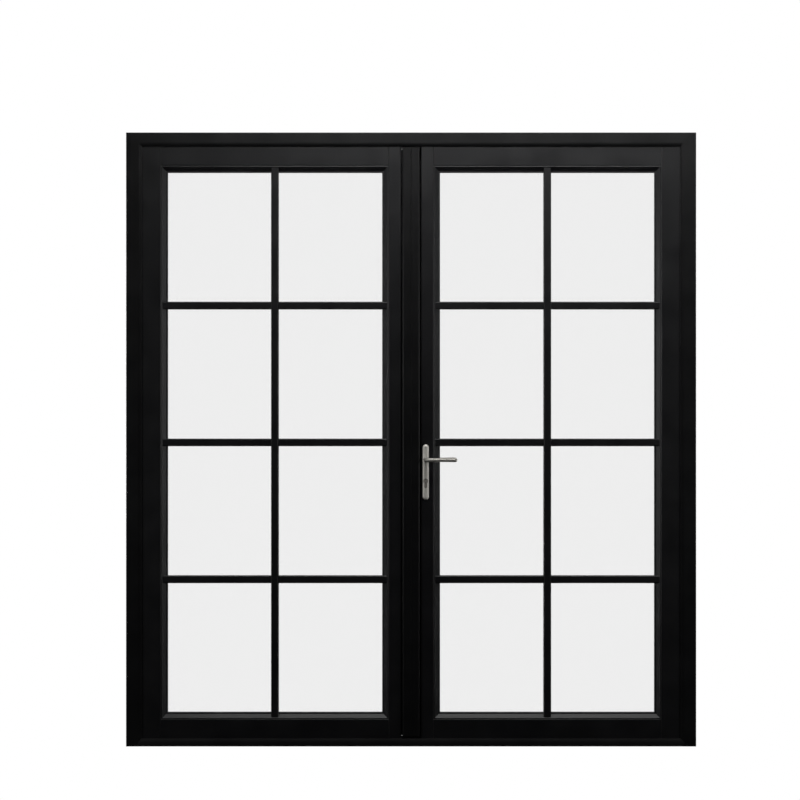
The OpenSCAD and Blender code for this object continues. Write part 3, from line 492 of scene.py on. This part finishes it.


# ---------- lever, backplates and key cylinder ----------
# Die-cast zinc plated in satin nickel. The plating is brushed, so highlights smear a little
# across the fine lines along each piece. The turned cylinder's nickel is painted darker, as
# painted shade for the dark keyway.

# Real brush lines are some 0.05 mm wide. They are drawn coarser, so that they show.
line_width = 0.25 * MM
line_length = 30 * MM


def satin_nickel(name, along, dark, pale):
    """Brushed nickel plate with its lines along one axis, 0 for X and 2 for Z."""
    material, tree, shader, place = new_material(name, Metallic=1.0)
    stretch = [1 / line_width] * 3
    stretch[along] = 1 / line_length
    lines = add(tree, "ShaderNodeMapping", {"Vector": place}, {"Scale": stretch})
    brush = add(
        tree, "ShaderNodeTexNoise", {"Vector": lines.outputs[0]}, {"Scale": 1.0, "Detail": 2}
    )
    stroke = brush.outputs["Fac"]
    bump = add(
        tree, "ShaderNodeBump", {"Height": stroke}, {"Strength": 0.15, "Distance": 0.02 * MM}
    )
    feed(
        tree, shader, Base_Color=blend(tree, stroke, dark, pale),
        Roughness=ramp(tree, stroke, 0.48, 0.62), Normal=bump.outputs[0],
    )
    return material


# The lever's copy of the nickel is painted darker than the plates' copy: painted shade, so the
# lever reads dimmer than the plates.
shaded_lever_nickel = satin_nickel("satin_nickel_lever_shaded", 0, "#9f9d97", "#b3b0aa")
nickel_z = satin_nickel("satin_nickel_plate", 2, "#c6c4be", "#dad7d0")
# Painted shade: the cylinder's nickel is painted darker than the plates' to stand for the dark of
# the keyway.
turned = satin_nickel("nickel_cylinder_painted_shade", 2, "#8b8882", "#9c9993")


def select_faces(piece, test):
    """In edit mode, selects just the faces that pass the test."""
    mesh = bmesh.from_edit_mesh(piece.data)
    for face in mesh.faces:
        face.select_set(False)
    for face in mesh.faces:
        if test(face):
            face.select_set(True)
    mesh.select_flush_mode()
    bmesh.update_edit_mesh(piece.data)


def mirrored(piece, name, about_y):
    """A copy of a piece with its own mesh, turned front to back."""
    twin = bpy.data.objects.new(name, piece.data.copy())
    bpy.context.scene.collection.objects.link(twin)
    activate(twin)
    bpy.ops.object.mode_set(mode="EDIT")
    bpy.ops.mesh.select_all(action="SELECT")
    bpy.ops.transform.resize(value=(1, -1, 1), center_override=(0, about_y, 0))
    bpy.ops.mesh.normals_make_consistent(inside=False)
    bpy.ops.object.mode_set(mode="OBJECT")
    return twin


low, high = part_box("front_backplate")
back_low, back_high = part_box("back_backplate")
leaf_middle = (low.y + back_high.y) / 2
width = high.x - low.x
rim = 3.6 * MM
bpy.ops.mesh.primitive_cylinder_add(
    vertices=64, radius=width / 2, depth=rim,
    location=((low.x + high.x) / 2, high.y - rim / 2, low.z + width / 2),
    rotation=(math.radians(90), 0, 0),
)
plate = bpy.context.object
plate.name = "front_backplate_crowned"
activate(plate)
bpy.ops.object.transform_apply(location=True, rotation=True, scale=True)
bpy.ops.object.mode_set(mode="EDIT")
mesh = bmesh.from_edit_mesh(plate.data)
for vert in mesh.verts:
    if vert.co.z > low.z + width / 2 + 0.001 * MM:
        vert.co.z = vert.co.z + high.z - low.z - width
bmesh.update_edit_mesh(plate.data)
select_faces(plate, lambda face: face.normal.y < -0.9)
# Each step goes in from the edge and up by so many millimetres.
crown_steps = ((0.5, 1.2), (0.8, 1.1), (1.3, 0.95), (1.9, 0.65), (2.6, 0.4), (2.4, 0.1))
for inward, rise in crown_steps:
    bpy.ops.mesh.inset(thickness=inward * MM, depth=rise * MM)
bpy.ops.mesh.select_all(action="SELECT")
bpy.ops.mesh.normals_make_consistent(inside=False)
bpy.ops.object.mode_set(mode="OBJECT")

back_plate = mirrored(plate, "back_backplate_crowned", leaf_middle)
screw_well = 4.5 * MM
for z in (back_low.z + width / 2, back_high.z - width / 2):
    bpy.ops.mesh.primitive_cylinder_add(
        vertices=48, radius=screw_well, depth=6 * MM,
        location=((low.x + high.x) / 2, back_high.y, z),
        rotation=(math.radians(90), 0, 0),
    )
    drill = bpy.context.object
    activate(back_plate)
    cut = back_plate.modifiers.new("counterbore", "BOOLEAN")
    cut.object = drill
    bpy.ops.object.modifier_apply(modifier=cut.name)
    bpy.data.objects.remove(drill, do_unlink=True)

for piece, node in ((plate, "front_backplate"), (back_plate, "back_backplate")):
    smooth(piece, 50)
    finish(piece, "right_leaf", nickel_z)
    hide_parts(node)

eased("cylinder_body", "right_leaf", turned, 0.3 * MM, 2, small)
eased("cylinder_plug", "key_plug", turned, 0.2 * MM, 2, small)

# The lever is one casting: a flared neck out of the plate, a swept elbow and a grip that fills
# out towards its tip.
low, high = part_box("front_lever")
axis_z = (low.z + high.z) / 2
axis_x = low.x + 8.5 * MM
bend = 13 * MM
grip_y = low.y + 8.3 * MM
bpy.ops.mesh.primitive_circle_add(
    vertices=16, radius=8.4 * MM, fill_type="NGON", location=(axis_x, high.y, axis_z),
    rotation=(math.radians(90), 0, 0),
)
front_lever = bpy.context.object
front_lever.name = "front_lever_cast"
activate(front_lever)
bpy.ops.object.transform_apply(location=True, rotation=True, scale=True)
bpy.ops.object.mode_set(mode="EDIT")
bpy.ops.mesh.select_all(action="SELECT")
here = Vector((axis_x, high.y, axis_z))


def grow(step, scale):
    """Extrudes the end of the lever by a step and scales the new end."""
    global here
    bpy.ops.mesh.extrude_region_move(TRANSFORM_OT_translate={"value": step})
    here = here + Vector(step)
    bpy.ops.transform.resize(value=scale, center_override=here)


# The neck: millimetres out from the plate, and the scale of the new ring.
neck_steps = ((0.4, 1.0), (2.2, 1.0), (0.5, 0.93), (1.5, 0.95), (6.0, 0.97))
for out, scale in neck_steps:
    grow((0, -out * MM, 0), (scale, 1, scale))
grow((0, grip_y + bend - here.y, 0), (1, 1, 1))
bpy.ops.mesh.spin(
    steps=6, angle=math.radians(-90), center=(axis_x + bend, grip_y + bend, axis_z), axis=(0, 0, 1)
)
here = Vector((axis_x + bend, grip_y, axis_z))
length = high.x - here.x
# The grip: the share of its length, and the scale of the new ring.
grip_steps = (
    (0.15, 0.97), (0.25, 0.98), (0.25, 1.03), (0.2, 1.06), (0.07, 1.02), (0.035, 0.93),
    (0.02, 0.78),
)
for reach, scale in grip_steps:
    grow((reach * length, 0, 0), (1, scale, scale))
grow((high.x - here.x, 0, 0), (1, 0.45, 0.45))
bpy.ops.mesh.select_all(action="SELECT")
bpy.ops.mesh.normals_make_consistent(inside=False)
bpy.ops.object.mode_set(mode="OBJECT")
rounding = front_lever.modifiers.new("smooth", "SUBSURF")
rounding.levels = rounding.render_levels = 2
bpy.ops.object.modifier_apply(modifier=rounding.name)

back_lever = mirrored(front_lever, "back_lever_cast", leaf_middle)
for piece, node in ((front_lever, "front_lever"), (back_lever, "back_lever")):
    smooth(piece, 60)
    finish(piece, "lever_set", shaded_lever_nickel)
    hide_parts(node)


# ---------- lock edge and bolts ----------
# Nickel-plated faceplate and keep on the meeting edges, the bolts that pass through them, and the
# flush bolts let into the left leaf.

eased("lock_faceplate", "right_leaf", nickel_z, 0.4 * MM, 2, small)
eased("lock_keep", "left_leaf", nickel_z, 0.4 * MM)
eased("deadbolt", "deadbolt_body", nickel_z, 0.6 * MM, 3)
eased("latch_bolt", "latch_body", nickel_z, 1.2 * MM, 3)
for up in ("upper", "lower"):
    eased(up + "_flush_bolt", up + "_flush_bolt_body", zinc, 0.5 * MM, 2, small)
    eased(up + "_shootbolt", up + "_shootbolt_body", zinc, 0.5 * MM, 2, small)
